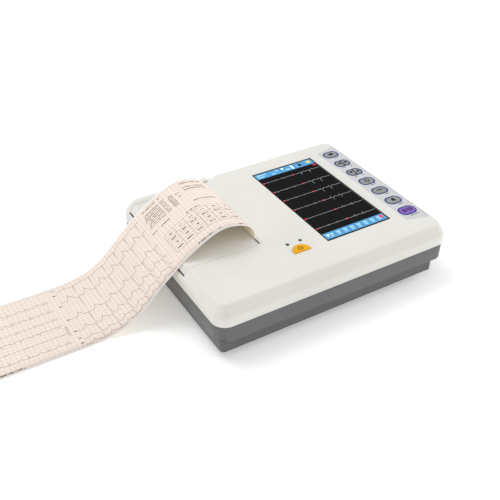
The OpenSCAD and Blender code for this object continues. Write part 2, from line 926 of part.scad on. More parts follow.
module battery_cover() {
    color(case_grey)
        difference() {
            union() {
                block([battery_x[0] - 1.8, battery_x[1] + 1.8], [battery_y[0] - 1.8, battery_y[1] + 1.8],
                    [base_z, base_z + 1.4]);
                block([battery_x[0] + 1, battery_x[1] - 1], [battery_y[0] + 1, battery_y[1] - 2],
                    [base_z + 1.4, base_z + 3.6]);
            }
            for (x = [battery_x[0] + 4, battery_x[1] - 4])
                post(x, battery_y[1] + 0.8, [base_z - 1, base_z + 2], 1.2);
        }
}

module battery_cover_screws() {
    color("silver")
        for (x = [battery_x[0] + 4, battery_x[1] - 4])
            union() {
                post(x, battery_y[1] + 0.8, [base_z - 0.9, base_z], 2.2);
                post(x, battery_y[1] + 0.8, [base_z, base_z + 5], 1.2);
            }
}

module case_screws() {
    color("silver")
        for (p = screws)
            union() {
                post(p.x, p.y, [base_z + 2.2, base_z + 4], 3);
                post(p.x, p.y, [base_z + 4, floor_z + 20], 1.3);
            }
}

module rubber_feet() {
    color([0.1, 0.1, 0.1])
        for (p = feet)
            post(p.x, p.y, [0, base_z - 5], 9);
}

module mains_inlet() {
    color([0.08, 0.08, 0.08])
        union() {
            difference() {
                union() {
                    block([inlet_x - 13.5, inlet_x + 13.5], [half_d - 20, half_d],
                        [inlet_z - 9.8, inlet_z + 9.8]);
                    block([inlet_x - 25, inlet_x + 25], [half_d - 0.5, half_d + 2],
                        [inlet_z - 11.5, inlet_z + 11.5]);
                }
                block([inlet_x - 12.1, inlet_x + 12.1], [half_d - 16, half_d + 3],
                    [inlet_z - 8.2, inlet_z + 8.2]);
            }
            for (p = [[-7, -2], [0, 2], [7, -2]])
                block([inlet_x + p.x - 1, inlet_x + p.x + 1], [half_d - 17, half_d - 4],
                    [inlet_z + p.y - 1.6, inlet_z + p.y + 1.6]);
        }
}

module earth_post() {
    color([0.8, 0.68, 0.35])
        union() {
            rod_y(post_x, post_z, [half_d - 12, half_d - 0.5], 3.9);
            rod_y(post_x, post_z, [half_d - 0.5, half_d + 2.5], 6.5);
            rod_y(post_x, post_z, [half_d + 2.5, half_d + 13.5], 3);
        }
}

// a connector with two threaded jack posts, on the case's right wall
module d_socket(y, shell, posts, rows) {
    difference() {
        union() {
            block([half_w - 14, half_w - 0.5], [y - shell / 2, y + shell / 2], [socket_z - 4.6, socket_z + 4.6]);
            block([half_w - 0.5, half_w + 0.8], [y - posts / 2 - 3, y + posts / 2 + 3],
                [socket_z - 6.2, socket_z + 6.2]);
            block([half_w + 0.8, half_w + 5.6], [y - shell / 2 + 0.5, y + shell / 2 - 0.5],
                [socket_z - 4, socket_z + 4]);
            for (s = [-1, 1])
                translate([half_w + 0.8, y + s * posts / 2, socket_z])
                    rotate([0, 90, 0])
                        cylinder(h = 5, r = 2.7, $fn = 6);
        }
        for (s = [-1, 1])
            rod_x(y + s * posts / 2, socket_z, [half_w, half_w + 6], 1.25);
        for (r = [0:1], i = [0:rows - 1 - r])
            rod_x(y + (i - (rows - 1 - r) / 2) * 2.77, socket_z + 1.42 - 2.84 * r, [half_w - 2, half_w + 6], 0.55);
    }
}

module patient_socket() {
    color([0.75, 0.76, 0.78])
        d_socket(patient_y, 25, 33.3, 8);
}

module serial_socket() {
    color([0.75, 0.76, 0.78])
        d_socket(serial_y, 17, 25, 5);
}

module usb_socket() {
    color([0.78, 0.79, 0.8])
        union() {
            difference() {
                block([half_w - 14, half_w + 0.6], [usb_y - 7, usb_y + 7], [socket_z - 3.4, socket_z + 3.4]);
                block([half_w - 12, half_w + 2], [usb_y - 6.2, usb_y + 6.2], [socket_z - 2.6, socket_z + 2.6]);
            }
            block([half_w - 13, half_w - 1.5], [usb_y - 5.6, usb_y + 5.6], [socket_z + 0.2, socket_z + 1.9]);
        }
}

module speaker() {
    color([0.2, 0.2, 0.22])
        union() {
            post(speaker_x, speaker_y, [floor_z, floor_z + 4], 14);
            post(speaker_x, speaker_y, [floor_z + 4, floor_z + 9], 9);
        }
}

module screen_cable() {
    color([0.85, 0.8, 0.6])
        block([62, 86], [24.6, 25.2], [board_z + 9, top_z - 8.4]);
}

module head_cable() {
    color([0.85, 0.85, 0.82])
        block([-38.6, -10], [33, 35.4], [board_z + 7, board_z + 7.6]);
}

bottom_case();
top_case();
paper_door();
tear_bar();
screen_window();
screen_module();
screen_bracket();
key_panel();
key_square();
key_back_1();
key_forward_1();
key_back_2();
key_forward_2();
key_ring();
key_pulse();
key_bell();
key_start();
keypad_board();
power_button();
power_board();
lamp_lens_left();
lamp_lens_right();
door_latch();
latch_spring();
door_hinge_pins();
platen_roller();
platen_shaft();
platen_gear();
platen_bushes();
print_head();
head_heatsink();
head_springs();
printer_frame();
idler_shaft();
idler_gear();
stepper_motor();
motor_shaft();
motor_pinion();
paper_tray();
roll_axle();
roll_core();
paper_roll();
chart_paper();
main_board();
patient_board();
board_shield();
power_supply();
battery_pack();
battery_cover();
battery_cover_screws();
case_screws();
rubber_feet();
mains_inlet();
earth_post();
patient_socket();
serial_socket();
usb_socket();
speaker();
screen_cable();
head_cable();
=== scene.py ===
import math
import random

import bmesh
import bpy
from mathutils import Matrix, Vector


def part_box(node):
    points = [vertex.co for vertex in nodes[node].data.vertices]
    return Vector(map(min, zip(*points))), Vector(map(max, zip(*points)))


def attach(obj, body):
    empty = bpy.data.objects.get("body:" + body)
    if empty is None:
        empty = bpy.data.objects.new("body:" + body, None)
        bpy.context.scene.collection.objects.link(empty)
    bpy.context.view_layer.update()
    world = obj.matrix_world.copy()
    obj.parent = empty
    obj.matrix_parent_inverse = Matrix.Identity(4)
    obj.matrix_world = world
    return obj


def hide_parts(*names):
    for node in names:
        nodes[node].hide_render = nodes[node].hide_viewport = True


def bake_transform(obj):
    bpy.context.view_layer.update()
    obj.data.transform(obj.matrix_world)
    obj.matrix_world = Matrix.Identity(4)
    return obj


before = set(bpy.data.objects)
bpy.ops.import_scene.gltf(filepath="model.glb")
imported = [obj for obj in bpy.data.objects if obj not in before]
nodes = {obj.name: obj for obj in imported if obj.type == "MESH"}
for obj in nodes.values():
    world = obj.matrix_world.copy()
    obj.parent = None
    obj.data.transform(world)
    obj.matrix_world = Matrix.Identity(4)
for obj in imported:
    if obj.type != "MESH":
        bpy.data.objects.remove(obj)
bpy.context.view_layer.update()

MM = 0.001  # lengths are in mm and are made metres with this, unless a comment says metres
random.seed(7)


# ------------------------------------------------------------------ materials

def colour(r, g, b):
    """A linear colour from an 8 bit sRGB one."""
    def linear(v):
        v /= 255
        return v / 12.92 if v <= 0.04045 else ((v + 0.055) / 1.055) ** 2.4
    return (linear(r), linear(g), linear(b), 1)


def shade(rgb, k):
    """The same colour, lighter or darker by a factor."""
    return (min(rgb[0] * k, 1), min(rgb[1] * k, 1), min(rgb[2] * k, 1), 1)


class Nodes:
    """Short calls for building a material's node tree."""

    def __init__(self, name):
        self.mat = bpy.data.materials.new(name)
        self.mat.use_nodes = True
        self.tree = self.mat.node_tree
        self.shader = self.tree.nodes["Principled BSDF"]
        self.coords = self.tree.nodes.new("ShaderNodeTexCoord")

    def new(self, kind, **settings):
        node = self.tree.nodes.new(kind)
        for key, value in settings.items():
            setattr(node, key, value)
        return node

    def link(self, a, b):
        self.tree.links.new(a, b)

    def set(self, name, value):
        self.shader.inputs[name].default_value = value

    def feed(self, socket, value):
        """Links another node's output to a socket, or sets the socket to a plain value."""
        if hasattr(value, "is_output"):
            self.link(value, socket)
        else:
            socket.default_value = value

    def noise(self, scale, detail=3.0, roughness=0.55, coords="Object"):
        n = self.new("ShaderNodeTexNoise")
        n.inputs["Scale"].default_value = scale
        n.inputs["Detail"].default_value = detail
        n.inputs["Roughness"].default_value = roughness
        self.link(self.coords.outputs[coords], n.inputs["Vector"])
        return n.outputs["Fac"]

    def ramp(self, fac, low, high, start=0.3, end=0.7):
        """Stretches fac, between start and end, to run from low to high."""
        n = self.new("ShaderNodeMapRange")
        n.inputs["From Min"].default_value = start
        n.inputs["From Max"].default_value = end
        n.inputs["To Min"].default_value = low
        n.inputs["To Max"].default_value = high
        self.link(fac, n.inputs["Value"])
        return n.outputs["Result"]

    def mix(self, fac, a, b):
        """Colour a where fac is 0, b where it is 1."""
        n = self.new("ShaderNodeMix", data_type="RGBA")
        self.feed(n.inputs["Factor"], fac)
        for socket, value in zip([s for s in n.inputs if s.type == "RGBA"], (a, b)):
            self.feed(socket, value)
        return [s for s in n.outputs if s.type == "RGBA"][0]

    def math(self, operation, a, b=None):
        n = self.new("ShaderNodeMath", operation=operation)
        for socket, value in zip(n.inputs, (a, b)):
            if value is not None:
                self.feed(socket, value)
        return n.outputs[0]

    def bump(self, heights, strength, distance):
        """Raises the surface by heights; distance is in metres."""
        n = self.new("ShaderNodeBump")
        n.inputs["Strength"].default_value = strength
        n.inputs["Distance"].default_value = distance
        self.link(heights, n.inputs["Height"])
        self.link(n.outputs["Normal"], self.shader.inputs["Normal"])


def moulded(name, rgb, rough=0.45, grain=2600, strength=0.18, vary=0.025, coat=0.0, spec=0.5,
            painted_shade_below=None):
    """Injection-moulded plastic: a spark-eroded grain, faint flow tone and uneven gloss.

    The last argument is a height in metres and a share: under that height, that much of a darker tone is
    mixed in as painted shade.
    """
    m = Nodes(name)
    flow = m.ramp(m.noise(14, 2), 0, 1)
    fine = m.ramp(m.noise(grain * 0.4, 2), 0, 1)
    base = m.mix(flow, shade(rgb, 1 - vary), shade(rgb, 1 + vary))
    speck = m.mix(m.math("MULTIPLY", fine, 0.18), base, shade(rgb, 1 - vary * 2.4))
    if painted_shade_below:
        height, share = painted_shade_below
        # painted shade: under the height, a darker tone is mixed in by the share
        split = m.new("ShaderNodeSeparateXYZ")
        m.link(m.coords.outputs["Object"], split.inputs[0])
        painted_shade_band = m.math("LESS_THAN", split.outputs["Z"], height)
        speck = m.mix(m.math("MULTIPLY", painted_shade_band, share), speck, shade(rgb, 0.25))
    m.link(speck, m.shader.inputs["Base Color"])
    m.link(m.ramp(m.noise(90, 3), rough - 0.05, rough + 0.06), m.shader.inputs["Roughness"])
    m.set("Specular IOR Level", spec)
    m.set("Coat Weight", coat)
    m.bump(m.noise(grain, 3, 0.6), strength, 0.00006)
    return m.mat


def metal(name, rgb, rough=0.3, brushed=False, vary=0.05):
    """Bare metal with patchy gloss and fine scratches, which are long along X where it is brushed."""
    m = Nodes(name)
    mapping = m.new("ShaderNodeMapping")
    mapping.inputs["Scale"].default_value = (60 if brushed else 900, 1600, 1600)
    m.link(m.coords.outputs["Object"], mapping.inputs["Vector"])
    lines = m.new("ShaderNodeTexNoise")
    lines.inputs["Scale"].default_value = 1.0
    lines.inputs["Detail"].default_value = 4
    m.link(mapping.outputs[0], lines.inputs["Vector"])
    patch = m.ramp(m.noise(40, 3), 0, 1)
    m.link(m.mix(patch, shade(rgb, 1 - vary), shade(rgb, 1 + vary)), m.shader.inputs["Base Color"])
    m.set("Metallic", 1.0)
    m.link(m.ramp(lines.outputs["Fac"], rough - 0.07, rough + 0.1), m.shader.inputs["Roughness"])
    m.bump(lines.outputs["Fac"], 0.12, 0.00003)
    return m.mat


def rubber(name, rgb, rough=0.7):
    """Rubber or card: little gloss, with paler dust in patches."""
    m = Nodes(name)
    dust = m.ramp(m.noise(70, 4), 0, 1, 0.45, 0.75)
    m.link(m.mix(dust, shade(rgb, 1), shade(rgb, 1.9)), m.shader.inputs["Base Color"])
    m.link(m.ramp(m.noise(300, 3), rough - 0.08, rough + 0.1), m.shader.inputs["Roughness"])
    m.set("Specular IOR Level", 0.3)
    m.bump(m.noise(1800, 3), 0.25, 0.00006)
    return m.mat


def circuit_board(name):
    """Green solder resist with copper tracks showing through as a lighter tone."""
    m = Nodes(name)
    tracks = m.new("ShaderNodeTexBrick")
    tracks.inputs["Scale"].default_value = 130
    tracks.inputs["Mortar Size"].default_value = 0.035
    tracks.inputs["Color1"].default_value = (0.012, 0.10, 0.045, 1)
    tracks.inputs["Color2"].default_value = (0.016, 0.13, 0.055, 1)
    tracks.inputs["Mortar"].default_value = (0.04, 0.24, 0.10, 1)
    m.link(m.coords.outputs["Object"], tracks.inputs["Vector"])
    dirt = m.ramp(m.noise(60, 3), 0, 1)
    m.link(m.mix(m.math("MULTIPLY", dirt, 0.3), tracks.outputs["Color"], (0.01, 0.07, 0.03, 1)),
           m.shader.inputs["Base Color"])
    m.link(m.ramp(m.noise(200, 2), 0.25, 0.4), m.shader.inputs["Roughness"])
    m.bump(tracks.outputs["Fac"], 0.3, 0.00005)
    return m.mat


def printed(name, rgb, glow=0.0, rough=0.5, vary=0.06):
    """Ink, film or, with a glow, something lit on the screen."""
    m = Nodes(name)
    wear = m.ramp(m.noise(900, 2), 0, 1)
    tint = m.mix(wear, shade(rgb, 1 - vary), shade(rgb, 1 + vary))
    m.link(tint, m.shader.inputs["Base Color"])
    m.link(m.ramp(m.noise(500, 2), rough - 0.05, rough + 0.05), m.shader.inputs["Roughness"])
    if glow:
        m.link(tint, m.shader.inputs["Emission Color"])
        m.set("Emission Strength", glow)
        m.set("Specular IOR Level", 0.0)
    return m.mat


WHITE = moulded("case_white", colour(229, 227, 221), rough=0.48, strength=0.16)
BASE_STEP_Z = 0.0235  # metres: under this height the base's lower skirt is given painted shade; it looks darker than the part above it
GREY = moulded("base_grey", colour(103, 103, 104), rough=0.5, strength=0.25, vary=0.04,
               painted_shade_below=(BASE_STEP_Z, 0.32))
PANEL = moulded("panel_film", colour(208, 208, 211), rough=0.5, grain=5000, strength=0.08)
KEY = moulded("key_grey", colour(150, 151, 152), rough=0.5, grain=4200, strength=0.1, spec=0.3, vary=0.04)
KEY_START = moulded("key_purple", colour(140, 102, 196), rough=0.5, grain=4200, strength=0.1, spec=0.25,
                    vary=0.05)
AMBER = moulded("power_amber", colour(240, 174, 4), rough=0.5, grain=4200, strength=0.08, spec=0.2, vary=0.05)
LAMP = moulded("lamp_green", colour(22, 52, 38), rough=0.18, grain=3000, strength=0.03, coat=0.5)
GLASS = moulded("screen_black", colour(10, 10, 11), rough=0.16, grain=2000, strength=0.01, spec=0.35)
BLACK = moulded("socket_black", colour(26, 26, 27), rough=0.45)
TRAY = moulded("tray_grey", colour(176, 176, 173), rough=0.55)
GEAR = moulded("gear_white", colour(222, 220, 208), rough=0.4)
CERAMIC = moulded("head_ceramic", colour(206, 200, 186), rough=0.3, strength=0.05)
FILM = moulded("battery_film", colour(30, 78, 140), rough=0.3, strength=0.05, coat=0.3)
CARD = rubber("roll_card", colour(160, 132, 98), 0.8)
RUBBER = rubber("rubber_black", colour(30, 30, 31))
PLATEN = rubber("platen_rubber", colour(44, 44, 46), 0.6)
STEEL = metal("steel_plain", colour(176, 178, 182), 0.34)
ALUMINIUM = metal("aluminium_plain", colour(196, 198, 202), 0.38, brushed=True)
BRASS = metal("brass_plain", colour(196, 160, 92), 0.3)
BOARD = circuit_board("circuit_green")

FINISH = {
    "top_case": WHITE, "paper_door": WHITE, "tear_bar": WHITE, "door_latch": WHITE,
    "bottom_case": GREY, "battery_cover": GREY, "key_panel": PANEL, "key_start": KEY_START,
    "power_button": AMBER, "lamp_lens_left": LAMP, "lamp_lens_right": LAMP, "screen_window": GLASS,
    "screen_module": STEEL, "screen_bracket": STEEL, "keypad_board": BOARD, "power_board": BOARD,
    "main_board": BOARD, "patient_board": BOARD, "power_supply": BOARD, "board_shield": STEEL,
    "latch_spring": STEEL, "door_hinge_pins": STEEL, "platen_roller": PLATEN, "platen_shaft": STEEL,
    "platen_gear": GEAR, "idler_gear": GEAR, "platen_bushes": BRASS, "motor_pinion": BRASS,
    "print_head": CERAMIC, "head_heatsink": ALUMINIUM, "head_springs": STEEL, "printer_frame": STEEL,
    "idler_shaft": STEEL, "stepper_motor": STEEL, "motor_shaft": STEEL, "paper_tray": TRAY,
    "roll_axle": TRAY, "roll_core": CARD, "battery_pack": FILM, "battery_cover_screws": STEEL,
    "case_screws": STEEL, "rubber_feet": RUBBER, "mains_inlet": BLACK, "earth_post": BRASS,
    "patient_socket": STEEL, "serial_socket": STEEL, "usb_socket": STEEL, "speaker": BLACK,
    "screen_cable": TRAY, "head_cable": TRAY,
}
KEY_NODES = ["key_square", "key_back_1", "key_forward_1", "key_back_2", "key_forward_2",
             "key_ring", "key_pulse", "key_bell"]
for name in KEY_NODES:
    FINISH[name] = KEY


PAPER_HALF = (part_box("chart_paper")[1].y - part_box("chart_paper")[0].y) / 2  # metres
PAPER_BORDER = 0.0018  # metres of white along each long edge


def with_grid(m, base):
    """The base colour with white long borders and, between them, a 1 mm and a 5 mm grid."""
    split = m.new("ShaderNodeSeparateXYZ")
    m.link(m.coords.outputs["UV"], split.inputs[0])

    def grid(pitch, share):
        """Lines every pitch mm both ways, each as wide as that share of the pitch."""
        found = None
        for axis in ("X", "Y"):
            part = m.math("FRACT", m.math("MULTIPLY", split.outputs[axis], 1000 / pitch))
            away = m.math("ABSOLUTE", m.math("SUBTRACT", part, 0.5))
            here = m.math("GREATER_THAN", away, 0.5 - share / 2)
            found = here if found is None else m.math("MAXIMUM", found, here)
        return found

    from_middle = m.math("ABSOLUTE", m.math("SUBTRACT", split.outputs["Y"], PAPER_HALF))
    inside = m.math("LESS_THAN", from_middle, PAPER_HALF - PAPER_BORDER)
    base = m.mix(inside, colour(250, 250, 251), base)
    fine = m.math("MULTIPLY", grid(1.0, 0.2), inside)
    bold = m.math("MULTIPLY", grid(5.0, 0.07), inside)
    base = m.mix(m.math("MULTIPLY", fine, 0.5), base, colour(242, 206, 180))
    return m.mix(m.math("MULTIPLY", bold, 0.8), base, colour(226, 166, 132))


def paper_material(name, light, pale, gridded):
    """Thermal chart paper: a fibre tone between two colours and, on the printed side, the grid."""
    m = Nodes(name)
    fibre = m.ramp(m.noise(420, 4, 0.7, "UV"), 0, 1)
    base = m.mix(fibre, light, pale)
    m.link(with_grid(m, base) if gridded else base, m.shader.inputs["Base Color"])
    m.set("Roughness", 0.62)
    m.set("Specular IOR Level", 0.25)
    m.bump(m.noise(700, 4, 0.7, "UV"), 0.08, 0.00005)
    return m.mat


PAPER = paper_material("chart_paper_front", colour(241, 234, 226), colour(245, 239, 232), True)
# the back is the paper's own warmer tone, and it is also brightened past the front as painted light for the
# underside of the arch
PAPER_BACK = paper_material("chart_paper_back", colour(254, 242, 218), colour(255, 246, 226), False)
FINISH["paper_roll"] = PAPER_BACK
FINISH["chart_paper"] = PAPER
INK = printed("chart_ink", colour(116, 96, 92), rough=0.7)
WORD_INK = printed("word_ink", colour(30, 18, 18), rough=0.7)
MARK = printed("panel_ink", colour(48, 50, 58), rough=0.5)
SYMBOL = printed("symbol_ink", colour(6, 6, 9), rough=0.8)
HALO = printed("halo_ink", colour(224, 225, 226), rough=0.5)
OUTLINE = printed("outline_ink", colour(0, 66, 152), rough=0.8)
LCD = printed("screen_dark", colour(22, 22, 23), glow=0.7, rough=0.3)
LCD_BAR = printed("screen_blue", colour(84, 146, 190), glow=0.42, rough=0.3)
LCD_PALE = printed("screen_pale", colour(150, 196, 224), glow=0.42, rough=0.3)
LCD_DEEP = printed("screen_deep", colour(44, 92, 138), glow=0.35, rough=0.3)
LCD_WHITE = printed("screen_white", colour(235, 243, 248), glow=0.5, rough=0.3)
LCD_TRACE = printed("screen_trace", colour(142, 146, 150), glow=0.5, rough=0.3)
LCD_RED = printed("screen_red", colour(226, 58, 76), glow=0.5, rough=0.3)
LCD_YELLOW = printed("screen_yellow", colour(214, 200, 84), glow=0.4, rough=0.3)

for name, obj in nodes.items():
    obj.data.materials.clear()
    obj.data.materials.append(FINISH[name])


# ------------------------------------------------------------------ CAD nodes

# width of each part's rounded edges
ROUNDED = {"top_case": 0.35, "paper_door": 0.3, "tear_bar": 0.2, "bottom_case": 0.4, "door_latch": 0.4,
           "power_button": 0.35, "key_panel": 0.15, "mains_inlet": 0.4, "battery_cover": 0.3,
           "rubber_feet": 0.6, "screen_window": 0.1, "paper_tray": 0.3, "printer_frame": 0.2,
           "usb_socket": 0.15, "patient_socket": 0.15, "serial_socket": 0.15, "head_heatsink": 0.15}
for name in KEY_NODES + ["key_start"]:
    ROUNDED[name] = 0.2
WELD_REACH = 0.002
BEVEL_FROM = math.radians(40)
SHARP_FROM = math.radians(32)
for name, obj in nodes.items():
    weld = obj.modifiers.new("weld", "WELD")
    weld.merge_threshold = WELD_REACH * MM
    if name in ROUNDED:
        bevel = obj.modifiers.new("bevel", "BEVEL")
        bevel.width = ROUNDED[name] * MM
        bevel.segments = 2
        bevel.limit_method = "ANGLE"
        bevel.angle_limit = BEVEL_FROM
        bevel.use_clamp_overlap = True
    for face in obj.data.polygons:
        face.use_smooth = True
    obj.data.set_sharp_from_angle(angle=SHARP_FROM)


# ------------------------------------------------------------------ flat pieces

def add_mesh(name, bm, *materials):
    """Turns a bmesh into an object in the scene, and frees it."""
    mesh = bpy.data.meshes.new(name)
    bm.to_mesh(mesh)
    bm.free()
    for material in materials:
        mesh.materials.append(material)
    obj = bpy.data.objects.new(name, mesh)
    bpy.context.scene.collection.objects.link(obj)
    return obj


def signed_area(shape):
    """The area inside an outline, below 0 where it runs clockwise."""
    return sum(a[0] * b[1] - b[0] * a[1] for a, b in zip(shape, shape[1:] + shape[:1])) / 2


def flat_piece(name, shapes, material, body, z):
    """One mesh of flat outlines (lists of X, Y in mm) that face up, at height z in mm."""
    bm = bmesh.new()
    for shape in shapes:
        face = bm.faces.new([bm.verts.new((x * MM, y * MM, z * MM)) for x, y in shape])
        if signed_area(shape) < 0:
            face.normal_flip()
    obj = add_mesh(name, bm, material)
    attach(obj, body)


def rect(x0, x1, y0, y1):
    return [(x0, y0), (x1, y0), (x1, y1), (x0, y1)]


def arc_points(x, y, r, start, turn, n):
    """Points round x, y, from start over turn, both in degrees, in n steps."""
    angles = [math.radians(start + turn * i / n) for i in range(n + 1)]
    return [(x + r * math.cos(a), y + r * math.sin(a)) for a in angles]


def dot(x, y, r, n=16):
    return arc_points(x, y, r, 0, 360, n)[:-1]


def oval(x, y, w, d, r, n=7):
    """A rectangle w by d with corners of radius r, as one outline."""
    points = []
    for cx, cy, start in ((w / 2 - r, d / 2 - r, 0), (r - w / 2, d / 2 - r, 90),
                          (r - w / 2, r - d / 2, 180), (w / 2 - r, r - d / 2, 270)):
        points += arc_points(x + cx, y + cy, r, start, 90, n)
    return points


def band(inside, outside):
    """Quads between two outlines of as many points."""
    n = len(inside)
    return [[outside[i], outside[(i + 1) % n], inside[(i + 1) % n], inside[i]] for i in range(n)]


def ring(x, y, r0, r1, start=0, turn=360, n=28):
    """Quads between two arcs of radius r0 and r1."""
    near = arc_points(x, y, r0, start, turn, n)
    far = arc_points(x, y, r1, start, turn, n)
    return [[far[i], far[i + 1], near[i + 1], near[i]] for i in range(n)]


MITRE_LIMIT = 2.2
TINY = 1e-6


def line(points, width):
    """Quads along a polyline, with mitred joints."""
    sides = []
    for i, p in enumerate(points):
        a = points[max(i - 1, 0)]
        b = points[min(i + 1, len(points) - 1)]
        din = Vector((p[0] - a[0], p[1] - a[1]))
        dout = Vector((b[0] - p[0], b[1] - p[1]))
        din = din.normalized() if din.length > TINY else dout.normalized()
        dout = dout.normalized() if dout.length > TINY else din
        mean = din + dout
        mean = mean.normalized() if mean.length > TINY else din
        out = Vector((-mean.y, mean.x))
        k = min(1 / max(abs(mean.dot(din)), TINY), MITRE_LIMIT) * width / 2
        sides.append(((p[0] + out.x * k, p[1] + out.y * k), (p[0] - out.x * k, p[1] - out.y * k)))
    return [[a[0], a[1], b[1], b[0]] for a, b in zip(sides, sides[1:])]


# ------------------------------------------------------------------ screen

low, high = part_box("screen_window")
GLASS_Z = high.z / MM
# the lit area, inside the window's black edge
SX0 = low.x / MM + 1.7
SX1 = high.x / MM - 2.1
SY0 = low.y / MM + 2.3
SY1 = high.y / MM - 2.1
TOP_BAR = (SY1 - 10.8, SY1)
LOW_BAR = (SY0 + 0.4, SY0 + 11.5)
ICON_LIFT = 0.1


def screen_piece(name, shapes, material, lift):
    """Something that the screen shows, lift mm over the glass."""
    flat_piece(name, shapes, material, "case", GLASS_Z + lift)


def pointer(x, y, w):
    """A small triangle w wide that points down, its left corner at x, y."""
    return [(x, y), (x + w, y), (x + w / 2, y - 4.2)]


screen_piece("screen_area", [rect(SX0, SX1, SY0, SY1)], LCD, 0.03)
screen_piece("screen_bars", [rect(SX0, SX1, *TOP_BAR), rect(SX0, SX1, *LOW_BAR)], LCD_BAR, 0.06)

# eight fields in the low bar, each with two rows, and dividers between them
FIELDS = 8
FIELD_STEP = 9.4
pale, deep = [], []
for i in range(FIELDS):
    x = SX0 + 7 + i * FIELD_STEP
    pale.append(rect(x, x + 5.2, LOW_BAR[0] + 5.9, LOW_BAR[0] + 8.4))
    pale.append(rect(x + 0.4, x + 4.2, LOW_BAR[0] + 2.5, LOW_BAR[0] + 4.6))
    deep.append(rect(x + 6.8, x + 7.3, LOW_BAR[0] + 0.8, LOW_BAR[1] - 0.8))
# the top bar's fields (from, to, height) and the dividers between them, from the bar's left end
for x0, x1, y in ((2, 15, 6.6), (2, 11, 2.6), (22, 27, 2.6), (29, 33, 6.6), (43, 49, 2.6), (60, 62.4, 3.2)):
    pale.append(rect(SX0 + x0, SX0 + x1, TOP_BAR[0] + y, TOP_BAR[0] + y + 2.0))
for x in (19, 36, 56, 69):
    deep.append(rect(SX0 + x, SX0 + x + 0.5, TOP_BAR[0] + 0.9, TOP_BAR[1] - 0.9))
screen_piece("screen_fields", pale, LCD_PALE, 0.09)
screen_piece("screen_dividers", deep, LCD_DEEP, 0.09)
screen_piece("screen_icons_white",
             [pointer(SX0 + 37.4, TOP_BAR[1] - 1.4, 4.0),
              rect(SX0 + 51.6, SX0 + 54.2, TOP_BAR[0] + 1.8, TOP_BAR[1] - 1.2),
              pointer(SX0 + 2.2, LOW_BAR[1] - 3.2, 4.4)],
             LCD_WHITE, ICON_LIFT)
screen_piece("screen_icon_dark", [rect(SX0 + 61.5, SX0 + 66, TOP_BAR[0] + 2.8, TOP_BAR[1] - 3.2)],
             LCD, ICON_LIFT)
screen_piece("screen_icon_yellow", [rect(SX0 + 75, SX0 + 80.4, TOP_BAR[0] + 4.0, TOP_BAR[1] - 2.4)],
             LCD_YELLOW, ICON_LIFT)

# each row of the screen has a dot, a faint stretch of beats, a second dot and a full stretch
TRACE_Y = [61.3, 38.6, 17.6, -4.0, -25.9, -47.9]
DOT_X = (14.4, 56.3)
DOT_R = 1.15
red = [rect(SX1 - 4.9, SX1 - 0.6, 67.7, 69.8), rect(SX1 - 6.4, SX1 - 2.2, LOW_BAR[0] + 4.9, LOW_BAR[0] + 9.3)]
for y in TRACE_Y:
    red += [dot(x, y, DOT_R) for x in DOT_X]
screen_piece("screen_dots", red, LCD_RED, 0.11)

# one beat of each row: (place along the beat, height)
BEATS = [
    [(0, 0), (1.6, 0.5), (2.6, 0), (3.2, 0.3), (3.6, -4.6), (4.1, -0.4), (6.2, 0.2), (8.2, 1.0), (9.6, 0)],
    [(0, 0), (1.6, 0.5), (2.6, 0), (3.1, 1.9), (3.8, -7.6), (4.3, -0.5), (6.2, 0.3), (8.2, 1.3), (9.6, 0)],
    [(0, 0), (1.6, 0.4), (2.6, 0), (3.1, 2.6), (3.8, -6.6), (4.3, -0.4), (6.2, 0.2), (8.2, 1.1), (9.6, 0)],
    [(0, 0), (1.6, 0.4), (2.6, 0), (3.1, 3.8), (3.8, -4.6), (4.3, -0.3), (6.2, 0.2), (8.2, 1.0), (9.6, 0)],
    [(0, 0), (1.6, 0.3), (2.6, -0.2), (3.2, 2.4), (3.7, -0.9), (4.3, 0), (6.2, 0.1), (8.2, 0.6), (9.6, 0)],
    [(0, 0), (1.6, 0.4), (2.6, -0.2), (3.2, 3.0), (3.7, -1.0), (4.3, 0), (6.2, 0.1), (8.2, 0.8), (9.6, 0)],
]
# the faint beats' height, as a share of the full ones'
FAINT = [0.16, 0.224, 0.128, 0.256, 0.08, 0.512]
FAINT_X = (15.6, 55.0)
FULL_X = (57.6, SX1 - 1.0)
FIRST_FULL_BEAT = 63.9
LAST_FULL_BEAT = SX1 - 10
BEAT_STEP = 12.0
STRETCH = 1.1  # the full beats are this much wider


def screen_trace(y, beat, faint):
    """One row's line: the faint stretch and then the full one."""
    first = []
    x = FAINT_X[0]
    while x < FAINT_X[1]:
        first += [(x + px, y + h * faint) for px, h in beat if x + px < FAINT_X[1]]
        x += BEAT_STEP
    first.append((FAINT_X[1], y))
    second = [(FULL_X[0], y)]
    x = FIRST_FULL_BEAT
    while x < LAST_FULL_BEAT:
        second += [(x + px * STRETCH, y + h) for px, h in beat]
        x += BEAT_STEP
    second.append((FULL_X[1], y + 0.2))
    return line(first, 0.5) + line(second, 0.55)


strokes = []
for y, beat, faint in zip(TRACE_Y, BEATS, FAINT):
    strokes += screen_trace(y, beat, faint)
screen_piece("screen_traces", strokes, LCD_TRACE, 0.07)


# ------------------------------------------------------------------ keys

def middle(node):
    a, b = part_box(node)
    return (a.x + b.x) / 2 / MM, (a.y + b.y) / 2 / MM


def top_of(node):
    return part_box(node)[1].z / MM


KEY_X = 126.5    # middle of the column of keys
FLANGE = 0.9     # a key's hidden flange stands out this far all round its cap
HALF_GAP = 1.3   # from the column's middle to either half of a split key
CORNER = 0.8     # radius of a half key's inner corners; an outer one has half the depth less this


def half_key(side, w, d, grow):
    """The outline of the right or left half of a split key w by d, larger all round by grow."""
    r = d / 2 - CORNER
    points = []
    for y, start in ((r - d / 2, -90), (d / 2 - r, 0)):
        points += arc_points(w / 2 - r, y, r + grow, start, 90, 9)
    for y, start in ((d / 2 - CORNER, 90), (CORNER - d / 2, 180)):
        points += arc_points(HALF_GAP + CORNER, y, CORNER + grow, start, 90, 5)
    return points if side > 0 else [(-x, y) for x, y in reversed(points)]


